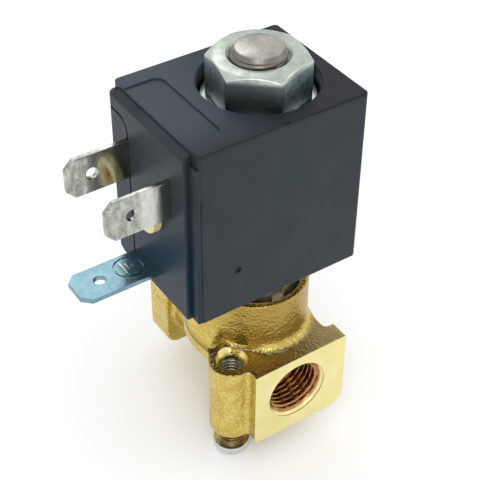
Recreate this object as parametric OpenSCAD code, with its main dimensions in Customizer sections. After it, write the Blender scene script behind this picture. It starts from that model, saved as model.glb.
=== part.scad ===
// Two-way, normally closed, direct-acting solenoid valve.
// Forged brass body with two in-line threaded ports, armature tube with a threaded stem,
// and a 22 mm wide moulded coil with three flat terminals, held on the stem by a hex nut.
// Origin: valve axis at the flat underside of the body. +Z runs up the axis.
// The coil's terminals point along -X and the ports along -Y (outlet) and +Y (inlet).

/* [Body] */
// Height of the flat-topped block that carries the ports
block_h = 15.1; // [14.5:0.1:16]
// Distance from the valve axis to the outlet port's face
outlet_y = 12.2; // [12:0.1:13.5]
// Distance from the valve axis to the inlet port's face
inlet_y = 19.6; // [19:0.1:22]
// Radius of the round cup above the block
cup_r = 8.5; // [8.4:0.1:9.2]
// Height of the cup's rim
cup_top = 24.3; // [24:0.1:25]
// Height of the port axis
port_z = 8; // [7.6:0.1:8.2]
// Wall radius of the port threads (minor radius of G1/8)
port_r = 4.283; // [4.2:0.001:4.4]
// Depth of a port thread from its face
port_depth = 8.6; // [7:0.1:9]
// Outer radius of the two fixing bosses
boss_r = 3.59; // [3.2:0.01:3.8]
// Major radius of the fixing screws
screw_r = 2; // [1.5:0.1:2]

/* [Armature] */
// Outer radius of the armature tube
tube_r = 4.5; // [4.4:0.05:4.6]
// Inner radius of the armature tube
tube_bore_r = 4.05; // [4:0.01:4.1]
// Radius of the plunger
plunger_r = 3.97; // [3.95:0.01:3.99]
// Lift of the plunger from the seat to the fixed core
stroke = 1.2; // [0.8:0.1:1.4]
// Major radius of the threaded stem
stem_r = 4; // [3.9:0.05:4]

/* [Coil] */
// Width of the coil housing
coil_w = 22; // [21.5:0.1:23]
// Height of the coil housing's underside
coil_bottom = 30.25; // [30.2:0.05:31]
// Height of the coil housing's top
coil_top = 59.3; // [59:0.1:60]
// Distance from the axis to the housing's plain end
coil_back = 10.7; // [10.5:0.1:12]
// Distance from the axis to the terminal face
coil_front = 17.9; // [17.5:0.1:19]
// Across flats of the hex nut
nut_af = 13; // [12.5:0.5:13]
// Width of a flat terminal
tab_w = 6.3; // [6:0.1:6.5]
// Thickness of a flat terminal
tab_t = 0.8; // [0.7:0.1:1]
// Distance between the two supply terminals
tab_pitch = 11; // [10:0.5:12]

/* [Hidden] */
$fn = 64;
eps = 0.01;
through = 100;           // longer than any hole

// Body
pad_left = 8;            // port pad's reach towards -X
pad_right = 9.3;         // port pad's reach towards +X
outlet_pad_t = 3.4;
inlet_pad_t = 5.2;
pad_corner_r = 2.5;
pad_small_r = 1.3;
neck_r = 6.6;            // round neck between the body and the inlet pad
keel_r = 7.3;            // round lower part of the body
block_right = 7.5;       // block's side between the pad and the cup
block_floor = 4;         // block's underside between the outlet pad and the cup
countersink_r = 5.3;
countersink_depth = 1.05;
drill_point = 1.6;       // cone at the end of a port's thread
passage_r = 1.4;
riser_y = 4.1;           // drilling from the inlet passage up to the chamber
riser_r = 1.2;
orifice_r = 1.25;
seat_z = 15.6;           // height of the seat's lip
seat_r = 2.1;
chamber_floor = 13.2;
chamber_r = 5.6;
guide_bore_r = 6;        // wall radius of the thread that takes the guide flange
guide_bore_floor = 17;
rim_bore_r = 7.3;
rim_bore_floor = 21.2;
boss_x = -8.75;
boss_y = -6.6;
boss_countersink_r = 2.6;
boss_countersink_t = 0.6;
far_boss_y = 14;
boss_lift = 0.3;         // bosses stop this far above the body's flat underside
web_floor = 12.6;
web_inset = 0.4;         // webs are this much narrower than the bosses
web_hub = [-1.5, 3];
web_r = 8.9;
far_web_hub = [0, 6];
far_web_r = 7.4;
foot_r = 1.5;            // fillet between the cup and the block
skirt_r = 11.4;          // reach of the flare on the cup's left
skirt_edge_z = 14.7;
skirt_t = 1.2;           // height of its upright edge
skirt_top = 21;
skirt_foot = 9.8;
skirt_inside = 6;
skirt_turn = 23.7;       // direction of its front end
skirt_w = 9.5;
screw_bearing = -2.8;    // height of the screw heads' bearing faces
screw_len = 12;
screw_head_r = 3.05;
screw_head_foot_r = 2.3;
screw_head_t = 2;

// Armature
flange_r = 6.5;
flange_top = 31.05;
flange_seat = 22.35;
flange_floor = 18.2;
flange_thread_top = 21.2;
flange_relief = 0.2;
slot_w = 2.1;            // spanner slots in the flange's edge
slot_depth = 0.7;
slot_floor = 23.15;
slot_turn = 29;
seal_ring_r = 6.5;       // O-ring between the guide flange and the cup
seal_wire_r = 0.55;
seal_gap = 0.02;
tube_foot = 22;
tube_top = 45.6;
spring_bore_r = 5.3;     // counterbore that houses the return spring
core_face = 36.2;
core_collar_top = 54.6;
shading_r_in = 2.4;
shading_r_out = 3.1;
shading_t = 0.8;
stem_top = 64.63;
stem_chamfer = 0.4;
seal_r = 2.7;
seal_t = 2.6;
plunger_top = core_face - stroke;
seal_proud = 0.35;       // seal stands this far out of the plunger
plunger_foot_z = seat_z + seal_proud;
plunger_foot_r = 5.1;
plunger_foot_t = 1.1;
spring_wire_r = 0.3;
spring_r = 4.6;
spring_turns = 5;
spring_steps = 16;
wire_sides = 8;
spring_gap = 0.02;
spring_low = plunger_foot_z + plunger_foot_t + spring_wire_r + spring_gap;
spring_high = tube_foot - spring_wire_r - spring_gap;

// Coil
face_z = 1.3;            // terminal face starts this far below the top
top_front = 16.6;        // top face's reach towards -X
recess_r = 8.65;
recess_floor = 55.9;
panel_y = 8.1;
panel_back = 10.9;
panel_front = 21.6;      // panel runs out through the top's front edge
panel_depth = 0.25;
panel_r = 1.5;
corner_r = 0.6;          // upright corners of the housing
edge_r = 0.3;
far_corner_r = 1.5;
face_y = 9.2;            // terminal face's reach towards -Y
strip_x = 17.1;          // strip beside the terminal face
strip_y = 10.9;
notch_z = 2.1;           // strip's top below the housing's top
ledge_z = 0.8;           // ledge's upper end below the top
pocket_y = 5.6;
pocket_top = 55.8;
pocket_r = 2;
pocket_depth = 0.45;
bottom_r = 3;
yoke_t = 2;
yoke_floor = 31.15;
yoke_half = 8.5;
yoke_hole_r = 4.7;
flange_gap = 0.5;        // housing's clearance around the guide flange
bobbin_bore_r = 4.65;
bobbin_tube_r = 5.3;
bobbin_flange_r = 7.95;
bobbin_flange_t = 1.1;
winding_r = 7.6;
tape_t = 0.15;
washer_r = 8.2;
washer_hole_r = 4.2;
washer_floor = recess_floor + 0.05;
washer_t = 1;
nut_floor = washer_floor + washer_t;
nut_h = 6.45;
nut_turn = 20;
nut_cone_t = 0.8;
nut_cone_r = 7.7;
nut_face_r = 6.3;
nut_lead_in = 0.3;
tab_z = 49.8;            // height of the supply terminals' centre line
tab_len = 9.95;
tab_hole_x = 5.95;       // terminal face to hole
earth_y = 1.45;
earth_top = 33.97;
earth_len = 12.15;
earth_hole_x = 8.0;
tab_hole_r = 0.85;
tab_chamfer = 1.35;
tab_root = 4;            // length of a terminal inside the moulding
insert_z = 44.1;
insert_r = 2;
insert_bore_r = 1.23;
insert_len = 5;
bush_len = 6;
bush_r = 3;              // bobbin's bush around the insert
bush_front = 1.2;        // bush stands this far out of the terminal face
lead_r = 0.2;
lead_drop = 1;           // leads leave this far below the supply terminals' centre line
arm_front = 4.8;         // terminal face to the bobbin's arm
arm_half = 3.6;
rib_half = 3;

module at_bosses() {
    translate([boss_x, boss_y, 0]) children();
    translate([-boss_x, far_boss_y, 0]) children();
}

module rounded_pad(r_left, r_right) {
    // outline of a port pad in X and Z: square top corners, rounded bottom corners
    union() {
        translate([-pad_left, max(r_left, r_right)])
            square([pad_left + pad_right, block_h - max(r_left, r_right)]);
        translate([-pad_left + r_left, 0])
            square([pad_left + pad_right - r_left - r_right, block_h]);
        translate([-pad_left, r_left]) square([r_left + eps, block_h - r_left]);
        translate([-pad_left + r_left, r_left]) circle(r_left);
        translate([pad_right - r_right, r_right]) circle(r_right);
    }
}

module along_y(y, len) {
    // stands a shape drawn in X and Z up, and extrudes it from y to y + len
    translate([0, y + len, 0]) rotate([90, 0, 0]) linear_extrude(len) children();
}

module port_bore(y, dir) {
    // threaded port with its countersink; dir is the way out of the port
    translate([0, y, port_z]) rotate([dir > 0 ? 90 : -90, 0, 0]) {
        translate([0, 0, -eps]) cylinder(h = port_depth + eps, r = port_r);
        translate([0, 0, -eps]) cylinder(h = countersink_depth, r1 = countersink_r, r2 = port_r);
        cylinder(h = port_depth + drill_point, r1 = port_r, r2 = passage_r);
    }
}

// point just inside a circle, in the direction turn
function rim(centre, r, turn) = centre + (r - eps) * [cos(turn), sin(turn)];

module web(end, end_r, hub, hub_r) {
    // outline of a flat web between a boss and the cup: two circles and their common tangents
    span = hub - end;
    direction = atan2(span.y, span.x);
    lean = acos((end_r - hub_r) / norm(span));
    translate(end) circle(end_r);
    translate(hub) circle(hub_r);
    polygon([
        rim(end, end_r, direction + lean), rim(end, end_r, direction - lean),
        rim(hub, hub_r, direction - lean), rim(hub, hub_r, direction + lean)
    ]);
}

module body_outside() {
    along_y(-outlet_y, outlet_pad_t) rounded_pad(pad_small_r, pad_corner_r);
    along_y(inlet_y - inlet_pad_t, inlet_pad_t) rounded_pad(pad_corner_r, pad_corner_r);
    // block between the outlet pad and the cup
    translate([-pad_left, -outlet_y + 1, block_floor])
        cube([pad_left + block_right, outlet_y - 1, block_h - block_floor]);
    // round lower parts
    along_y(-outlet_y + 1, outlet_y) translate([0, port_z]) circle(keel_r);
    along_y(-1, inlet_y) translate([0, port_z]) circle(neck_r);
    cylinder(h = block_h, r = keel_r);
    // cup, and its foot and flare, which stop at the bosses
    translate([0, 0, web_floor]) cylinder(h = cup_top - web_floor, r = cup_r);
    difference() {
        union() {
            cup_foot();
            skirt();
        }
        at_bosses() translate([0, 0, block_h]) cylinder(h = skirt_top, r = boss_r);
    }
    translate([0, 0, web_floor])
        linear_extrude(block_h - web_floor) {
            web([boss_x, boss_y], boss_r - web_inset, web_hub, web_r);
            web([-boss_x, far_boss_y], boss_r - web_inset, far_web_hub, far_web_r);
        }
    at_bosses() translate([0, 0, boss_lift]) cylinder(h = block_h - boss_lift, r = boss_r);
}

module cup_foot() {
    // fillet around the cup
    rotate_extrude()
        difference() {
            translate([skirt_inside, web_floor])
                square([cup_r + foot_r - skirt_inside, block_h + foot_r - web_floor]);
            translate([cup_r + foot_r, block_h + foot_r]) circle(foot_r);
        }
}

module skirt() {
    // steep flare from the cup to the left, with an undercut lower side
    intersection() {
        rotate_extrude()
            polygon([
                [skirt_inside, skirt_top], [cup_r, skirt_top], [skirt_r, skirt_edge_z],
                [skirt_r, skirt_edge_z - skirt_t], [keel_r, skirt_foot], [skirt_inside, skirt_foot]
            ]);
        rotate([0, 0, skirt_turn]) translate([-skirt_r - 2, 0, skirt_foot - 1])
            cube([skirt_r, skirt_w, skirt_top - skirt_foot + 2]);
    }
}

module valve_body() {
    color("#c9a94f")
    difference() {
        body_outside();
        // armature cup
        translate([0, 0, rim_bore_floor]) cylinder(h = cup_top, r = rim_bore_r);
        translate([0, 0, guide_bore_floor]) cylinder(h = cup_top, r = guide_bore_r);
        // inlet chamber around the seat
        difference() {
            translate([0, 0, chamber_floor]) cylinder(h = cup_top, r = chamber_r);
            cylinder(h = seat_z, r = seat_r);
        }
        // outlet passage under the seat
        translate([0, 0, port_z]) cylinder(h = cup_top, r = orifice_r);
        translate([0, 0, port_z]) rotate([90, 0, 0]) cylinder(h = outlet_y, r = passage_r);
        // inlet passage up into the chamber
        translate([0, inlet_y, port_z]) rotate([90, 0, 0])
            cylinder(h = inlet_y - riser_y, r = passage_r);
        translate([0, riser_y, port_z]) cylinder(h = block_h - port_z, r = riser_r);
        port_bore(-outlet_y, -1);
        port_bore(inlet_y, 1);
        // screw holes
        at_bosses() {
            translate([0, 0, -eps]) cylinder(h = block_h + 1, r = screw_r);
            translate([0, 0, block_h - boss_countersink_t])
                cylinder(h = boss_countersink_t + eps, r1 = screw_r, r2 = boss_countersink_r);
        }
    }
}

module guide_flange() {
    color("#8f8d88")
    difference() {
        union() {
            translate([0, 0, flange_seat]) cylinder(h = flange_top - flange_seat, r = flange_r);
            translate([0, 0, flange_floor])
                cylinder(h = flange_thread_top - flange_floor, r = guide_bore_r);
            translate([0, 0, flange_floor])
                cylinder(h = flange_top - flange_floor, r = guide_bore_r - flange_relief);
        }
        cylinder(h = through, r = tube_r);
        translate([0, 0, flange_floor - eps])
            cylinder(h = tube_foot - flange_floor + eps, r = spring_bore_r);
        for (a = [0 : 60 : 300])
            rotate([0, 0, a + slot_turn])
                translate([flange_r - slot_depth, -slot_w / 2, slot_floor])
                    cube([2 * slot_depth, slot_w, flange_top]);
    }
}

module guide_tube() {
    color("#b9bbbd")
    difference() {
        translate([0, 0, tube_foot]) cylinder(h = tube_top - tube_foot, r = tube_r);
        cylinder(h = through, r = tube_bore_r);
    }
}

module fixed_core() {
    color("#9c9893")
    difference() {
        union() {
            translate([0, 0, core_face]) cylinder(h = tube_top - core_face, r = tube_bore_r);
            translate([0, 0, tube_top]) cylinder(h = core_collar_top - tube_top, r = tube_r);
            translate([0, 0, core_collar_top])
                cylinder(h = stem_top - core_collar_top - stem_chamfer, r = stem_r);
            translate([0, 0, stem_top - stem_chamfer])
                cylinder(h = stem_chamfer, r1 = stem_r, r2 = stem_r - stem_chamfer);
        }
        translate([0, 0, core_face - eps]) ring(shading_r_in, shading_r_out, shading_t + eps);
    }
}

module ring(r_in, r_out, h) {
    difference() {
        cylinder(h = h, r = r_out);
        translate([0, 0, -eps]) cylinder(h = h + 1, r = r_in);
    }
}

module shading_ring() {
    color("#b0653a") translate([0, 0, core_face]) ring(shading_r_in, shading_r_out, shading_t);
}

module body_seal() {
    color("#1d1a1c")
    translate([0, 0, rim_bore_floor + seal_wire_r + seal_gap])
        rotate_extrude() translate([seal_ring_r, 0]) circle(seal_wire_r, $fn = 24);
}

module coil_nut() {
    color("#aeb8ae")
    translate([0, 0, nut_floor])
        difference() {
            intersection() {
                rotate([0, 0, nut_turn]) cylinder(h = nut_h, r = nut_af / sqrt(3), $fn = 6);
                union() {
                    cylinder(h = nut_h - nut_cone_t, r = nut_af);
                    translate([0, 0, nut_h - nut_cone_t])
                        cylinder(h = nut_cone_t, r1 = nut_cone_r, r2 = nut_face_r);
                }
            }
            translate([0, 0, -1]) cylinder(h = nut_h + 2, r = stem_r);
            translate([0, 0, nut_h - nut_lead_in])
                cylinder(h = nut_lead_in + eps, r1 = stem_r, r2 = stem_r + nut_lead_in);
        }
}

module nut_washer() {
    color("#c9ccce") translate([0, 0, washer_floor]) ring(washer_hole_r, washer_r, washer_t);
}

module bracket_screws() {
    color("#c4c7c9")
    at_bosses() {
        translate([0, 0, screw_bearing]) cylinder(h = screw_len, r = screw_r);
        translate([0, 0, screw_bearing - screw_head_t / 2])
            cylinder(h = screw_head_t / 2, r = screw_head_r);
        translate([0, 0, screw_bearing - screw_head_t])
            cylinder(h = screw_head_t / 2, r1 = screw_head_foot_r, r2 = screw_head_r);
    }
}

module yoke_blank(gap) {
    // steel strip bent into a C that is open towards the terminals; gap grows the shape
    for (z = [yoke_floor, recess_floor - yoke_t])
        translate([-yoke_half - gap, -yoke_half - gap, z - gap])
            cube([2 * yoke_half + yoke_t / 2 + 2 * gap, 2 * yoke_half + 2 * gap, yoke_t + 2 * gap]);
    translate([yoke_half - yoke_t / 4, -yoke_half - gap, yoke_floor - gap])
        cube([yoke_t * 3 / 4 + gap, 2 * yoke_half + 2 * gap, recess_floor - yoke_floor + 2 * gap]);
}

module quarter(size, r) {
    // quarter of a rectangle, with its round corner at the origin
    translate([r, 0]) square([size.x - r, size.y]);
    translate([0, r]) square([size.x, size.y - r]);
    translate([r, r]) circle(r);
}

module round_plan(low, high, radii) {
    // rectangle with round corners; radii run anticlockwise from low
    size = (high - low) / 2 + [eps, eps];
    translate(low) quarter(size, radii[0]);
    translate([high.x, low.y]) mirror([1, 0]) quarter(size, radii[1]);
    translate(high) rotate(180) quarter(size, radii[2]);
    translate([low.x, high.y]) mirror([0, 1]) quarter(size, radii[3]);
}

module housing_outside() {
    half = coil_w / 2;
    translate([0, 0, coil_bottom]) {
        // main block
        linear_extrude(coil_top - coil_bottom)
            round_plan([-top_front, -half], [coil_back, half], [corner_r, corner_r, corner_r, corner_r]);
        // terminal block, and the strip set back beside it
        linear_extrude(coil_top - face_z - coil_bottom)
            round_plan([-coil_front, -face_y], [0, half], [edge_r, edge_r, corner_r, far_corner_r]);
        linear_extrude(coil_top - notch_z - coil_bottom)
            round_plan([-strip_x, -strip_y], [0, 0], [edge_r, edge_r, edge_r, edge_r]);
    }
    // sloping ledge between the top and the terminal face
    along_y(-face_y, face_y + half - far_corner_r)
        polygon([
            [-coil_front, coil_top - face_z], [-top_front + 1, coil_top - face_z],
            [-top_front + 1, coil_top - ledge_z], [-top_front, coil_top - ledge_z]
        ]);
}

module far_pocket() {
    // shallow set-back of the terminal face's far side, with one round corner
    rotate([90, 0, -90]) translate([0, 0, coil_front - pocket_depth])
        linear_extrude(3)
            union() {
                translate([-coil_w, 0]) square([coil_w - pocket_y, pocket_top - pocket_r]);
                translate([-coil_w, 0]) square([coil_w - pocket_y - pocket_r, pocket_top]);
                translate([-pocket_y - pocket_r, pocket_top - pocket_r]) circle(pocket_r);
            }
}

module far_corner() {
    // rounds the bottom edge on the far side
    translate([-coil_front - 1, coil_w / 2 - bottom_r, coil_bottom + bottom_r])
        rotate([0, 90, 0])
            difference() {
                cube([bottom_r + 1, bottom_r + 1, coil_front + coil_back + 2]);
                translate([0, 0, -1]) cylinder(h = coil_front + coil_back + 4, r = bottom_r);
            }
}

module coil_housing() {
    color("#2c3440")
    difference() {
        housing_outside();
        far_pocket();
        far_corner();
        // nut recess, armature bore and seat for the guide flange
        translate([0, 0, recess_floor]) cylinder(h = coil_top, r = recess_r);
        cylinder(h = through, r = bobbin_bore_r);
        cylinder(h = yoke_floor, r = flange_r + flange_gap);
        // shallow panel in the top
        translate([0, 0, coil_top - panel_depth])
            linear_extrude(1)
                round_plan([-panel_front, -panel_y], [-panel_back, panel_y],
                           [edge_r, panel_r, panel_r, edge_r]);
        yoke_blank(0);
        translate([0, 0, yoke_floor + yoke_t - eps])
            cylinder(h = recess_floor - yoke_floor - 2 * yoke_t + 2 * eps, r = bobbin_flange_r);
        carrier();
        for (s = [-1, 1]) supply_tab(s * tab_pitch / 2);
        earth_tab();
        for (s = [-1, 1]) lead(s);
        translate([-coil_front - 1, 0, insert_z]) rotate([0, 90, 0])
            cylinder(h = bush_len + 1, r = bush_r);
    }
}

module carrier() {
    // bobbin's arm that carries the terminals, and the rib that joins it to both flanges
    translate([-coil_front + arm_front, -arm_half, insert_z - arm_half])
        cube([coil_front - arm_front - bobbin_flange_r, 2 * arm_half, 2 * arm_half]);
    translate([-bobbin_flange_r - 1, -rib_half, yoke_floor + yoke_t])
        cube([2, 2 * rib_half, recess_floor - yoke_floor - 2 * yoke_t]);
}

module bobbin() {
    bobbin_floor = yoke_floor + yoke_t;
    bobbin_top = recess_floor - yoke_t;
    color("#d9cfae")
    difference() {
        union() {
            translate([0, 0, bobbin_floor]) cylinder(h = bobbin_top - bobbin_floor, r = bobbin_tube_r);
            translate([0, 0, bobbin_floor]) cylinder(h = bobbin_flange_t, r = bobbin_flange_r);
            translate([0, 0, bobbin_top - bobbin_flange_t])
                cylinder(h = bobbin_flange_t, r = bobbin_flange_r);
            difference() {
                carrier();
                cylinder(h = through, r = winding_r + tape_t);
            }
            translate([-coil_front - bush_front, 0, insert_z]) rotate([0, 90, 0])
                cylinder(h = bush_len + bush_front, r = bush_r);
        }
        cylinder(h = through, r = bobbin_bore_r);
        translate([-coil_front - bush_front - eps, 0, insert_z]) rotate([0, 90, 0])
            cylinder(h = insert_len + eps, r = insert_r);
    }
}

module winding() {
    z0 = yoke_floor + yoke_t + bobbin_flange_t;
    z1 = recess_floor - yoke_t - bobbin_flange_t;
    color("#a5572c")
    translate([0, 0, z0]) ring(bobbin_tube_r, winding_r, z1 - z0);
}

module winding_tape() {
    z0 = yoke_floor + yoke_t + bobbin_flange_t;
    z1 = recess_floor - yoke_t - bobbin_flange_t;
    color("#d8b23c")
    translate([0, 0, z0]) ring(winding_r, winding_r + tape_t, z1 - z0);
}

module yoke_frame() {
    color("#7d8084")
    difference() {
        yoke_blank(0);
        cylinder(h = through, r = yoke_hole_r);
    }
}

module blade(len, root, hole_at) {
    // flat blade along -X, lying in X and Y, from the terminal face outwards
    linear_extrude(tab_t)
        difference() {
            polygon([
                [root, -tab_w / 2], [root, tab_w / 2],
                [-len + tab_chamfer, tab_w / 2], [-len, tab_w / 2 - tab_chamfer],
                [-len, -tab_w / 2 + tab_chamfer], [-len + tab_chamfer, -tab_w / 2]
            ]);
            translate([-hole_at, 0]) circle(tab_hole_r);
        }
}

module supply_tab(y) {
    translate([-coil_front, y + tab_t / 2, tab_z]) rotate([90, 0, 0])
        blade(tab_len, tab_root, tab_hole_x);
}

module earth_tab() {
    translate([-coil_front, earth_y, earth_top - tab_t]) blade(earth_len, tab_root, earth_hole_x);
    // foot that turns up and bears on the yoke
    translate([-coil_front + tab_root - tab_t, earth_y - tab_w / 2, yoke_floor])
        cube([tab_t, tab_w, earth_top - yoke_floor]);
    translate([-coil_front + tab_root - tab_t, earth_y - tab_w / 2, yoke_floor])
        cube([coil_front - tab_root + tab_t - yoke_half, tab_w, tab_t]);
}

module terminal_line() {
    color("#b9b8ad") supply_tab(-tab_pitch / 2);
}

module terminal_neutral() {
    color("#b9b8ad") supply_tab(tab_pitch / 2);
}

module terminal_earth() {
    color("#9fb4be") earth_tab();
}

module plug_insert() {
    color("#c8a24a")
    translate([-coil_front - bush_front, 0, insert_z]) rotate([0, 90, 0])
        ring(insert_bore_r, insert_r, insert_len);
}

module lead(side) {
    // magnet wire from a supply terminal's root to the winding
    difference() {
        translate([-coil_front + tab_root, side * tab_pitch / 2, tab_z - lead_drop]) rotate([0, 90, 0])
            cylinder(h = coil_front - tab_root, r = lead_r, $fn = 16);
        cylinder(h = through, r = winding_r + tape_t);
    }
}

module lead_line() {
    color("#a5572c") lead(-1);
}

module lead_neutral() {
    color("#a5572c") lead(1);
}

module plunger() {
    color("#9fa3a6")
    difference() {
        union() {
            translate([0, 0, plunger_foot_z]) cylinder(h = plunger_top - plunger_foot_z, r = plunger_r);
            translate([0, 0, plunger_foot_z]) cylinder(h = plunger_foot_t, r = plunger_foot_r);
        }
        translate([0, 0, plunger_foot_z - eps])
            cylinder(h = seal_t - seal_proud + eps, r = seal_r);
    }
}

module plunger_seal() {
    color("#24211f") translate([0, 0, seat_z]) cylinder(h = seal_t, r = seal_r);
}

// point on the spring's centre line at t from 0 to 1
function spring_point(t) = [
    spring_r * cos(360 * spring_turns * t),
    spring_r * sin(360 * spring_turns * t),
    spring_low + (spring_high - spring_low) * t
];

// point k of the wire's cross-section at t
function wire_point(t, k) =
    let (a = 360 * spring_turns * t, b = 360 * k / wire_sides)
    spring_point(t) + spring_wire_r * [cos(b) * cos(a), cos(b) * sin(a), sin(b)];

module return_spring() {
    n = spring_turns * spring_steps;
    points = [for (i = [0 : n]) for (k = [0 : wire_sides - 1]) wire_point(i / n, k)];
    sides = [
        for (i = [0 : n - 1]) for (k = [0 : wire_sides - 1])
            let (k2 = (k + 1) % wire_sides)
            [i * wire_sides + k, (i + 1) * wire_sides + k,
             (i + 1) * wire_sides + k2, i * wire_sides + k2]
    ];
    first_end = [for (k = [0 : wire_sides - 1]) k];
    last_end = [for (k = [wire_sides - 1 : -1 : 0]) n * wire_sides + k];
    color("#b5b8ba") polyhedron(points, concat(sides, [first_end, last_end]));
}

valve_body();
guide_flange();
guide_tube();
fixed_core();
shading_ring();
body_seal();
coil_nut();
nut_washer();
bracket_screws();
coil_housing();
bobbin();
winding();
winding_tape();
yoke_frame();
terminal_line();
terminal_neutral();
terminal_earth();
plug_insert();
lead_line();
lead_neutral();
plunger();
plunger_seal();
return_spring();
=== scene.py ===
"""Looks of a direct-acting solenoid valve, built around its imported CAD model.

Shapes are made in millimetres, in the CAD model's own frame, and place() scales them to metres.
X points away from the terminals, Y from the outlet to the inlet, and Z up along the valve's axis.
"""

from math import ceil, cos, hypot, pi, radians, sin, sqrt

import bmesh
import bpy
import numpy as np
from mathutils import Matrix, Vector, noise


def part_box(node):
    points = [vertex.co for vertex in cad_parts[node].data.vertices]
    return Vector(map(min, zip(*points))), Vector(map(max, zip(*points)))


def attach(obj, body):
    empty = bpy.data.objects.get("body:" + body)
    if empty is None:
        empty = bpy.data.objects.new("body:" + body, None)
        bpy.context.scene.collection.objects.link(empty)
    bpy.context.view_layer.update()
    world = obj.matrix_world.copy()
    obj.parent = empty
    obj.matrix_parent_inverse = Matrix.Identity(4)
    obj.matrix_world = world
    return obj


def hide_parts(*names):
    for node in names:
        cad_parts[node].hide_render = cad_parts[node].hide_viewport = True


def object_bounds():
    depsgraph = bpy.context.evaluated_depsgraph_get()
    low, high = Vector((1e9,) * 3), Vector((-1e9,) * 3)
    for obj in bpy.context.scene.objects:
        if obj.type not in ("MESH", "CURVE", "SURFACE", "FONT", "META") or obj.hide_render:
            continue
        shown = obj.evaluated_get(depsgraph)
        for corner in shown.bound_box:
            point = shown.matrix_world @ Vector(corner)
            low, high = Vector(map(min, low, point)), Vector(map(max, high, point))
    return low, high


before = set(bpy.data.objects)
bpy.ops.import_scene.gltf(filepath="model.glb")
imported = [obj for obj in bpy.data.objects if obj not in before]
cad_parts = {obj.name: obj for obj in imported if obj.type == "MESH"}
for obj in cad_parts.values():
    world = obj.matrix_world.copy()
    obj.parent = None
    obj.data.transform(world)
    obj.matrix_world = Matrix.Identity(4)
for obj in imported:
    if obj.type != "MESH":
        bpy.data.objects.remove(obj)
cad_box = [list(corner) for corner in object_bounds()]
MM = 0.001
THREAD_STEPS = 14  # rows of points in each turn of a thread
WAVE_FACTOR = 20  # Blender's wave texture has 20 / (2 pi) bands for each unit of its scale


def box_mm(node):
    """Lowest and highest corner of a CAD node, in millimetres."""
    low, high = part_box(node)
    return low / MM, high / MM


BODY_LOW, BODY_HIGH = box_mm("valve_body")
HOUSING_LOW, HOUSING_HIGH = box_mm("coil_housing")
CORE_LOW, CORE_HIGH = box_mm("fixed_core")
NUT_LOW, NUT_HIGH = box_mm("coil_nut")
SCREW_LOW, SCREW_HIGH = box_mm("bracket_screws")
EARTH_LOW, EARTH_HIGH = box_mm("terminal_earth")
INSERT_LOW, INSERT_HIGH = box_mm("plug_insert")
BUSH_Z = (INSERT_LOW.z + INSERT_HIGH.z) / 2
SPRING_LOW, SPRING_HIGH = box_mm("return_spring")
PLUNGER_LOW, PLUNGER_HIGH = box_mm("plunger")

# ---- mesh tools


def linked(name, data):
    """New object in the scene."""
    obj = bpy.data.objects.new(name, data)
    bpy.context.scene.collection.objects.link(obj)
    return obj


def new_object(name, points, faces):
    mesh = bpy.data.meshes.new(name)
    mesh.from_pydata([tuple(p) for p in points], [], [tuple(f) for f in faces])
    return linked(name, mesh)


def face_outwards(obj):
    """Makes every face of a closed mesh point outwards."""
    shape = bmesh.new()
    shape.from_mesh(obj.data)
    bmesh.ops.recalc_face_normals(shape, faces=shape.faces)
    shape.to_mesh(obj.data)
    shape.free()
    return obj


def modified(obj, kind, **settings):
    """The object, with a modifier of this kind turned into its mesh."""
    modifier = obj.modifiers.new("shape", kind)
    for key, value in settings.items():
        setattr(modifier, key, value)
    bpy.context.view_layer.update()
    graph = bpy.context.evaluated_depsgraph_get()
    mesh = bpy.data.meshes.new_from_object(obj.evaluated_get(graph), depsgraph=graph)
    obj.modifiers.clear()
    obj.data = mesh
    return obj


def carve(obj, tool, operation="DIFFERENCE"):
    """Cuts tool out of obj, or joins or intersects the two, and removes tool."""
    modified(obj, "BOOLEAN", operation=operation, solver="MANIFOLD", object=tool)
    bpy.data.objects.remove(tool)
    return obj


def moved(obj, offset, degrees=0, axis="X"):
    """The object, with its mesh turned about an axis and then moved."""
    obj.data.transform(Matrix.Translation(offset) @ Matrix.Rotation(radians(degrees), 4, axis))
    return obj


def block(low, high):
    """Box between two corners, as a tool for carve()."""
    points = [
        (x, y, z) for x in (low[0], high[0]) for y in (low[1], high[1]) for z in (low[2], high[2])
    ]
    faces = [(0, 1, 3, 2), (4, 6, 7, 5), (0, 4, 5, 1), (2, 3, 7, 6), (0, 2, 6, 4), (1, 5, 7, 3)]
    return face_outwards(new_object("block", points, faces))


def ridge(turns):
    """Height of a thread's rounded crest, 0 to 1, at a number of turns along it."""
    return np.clip(0.5 + 0.62 * np.cos(2 * np.pi * turns), 0, 1)


def ring_faces(rings, sides):
    """Quads between rings of points that each have a number of sides."""
    return [
        (j + i, j + (i + 1) % sides, j + sides + (i + 1) % sides, j + sides + i)
        for j in range(0, (rings - 1) * sides, sides) for i in range(sides)
    ]


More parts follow.
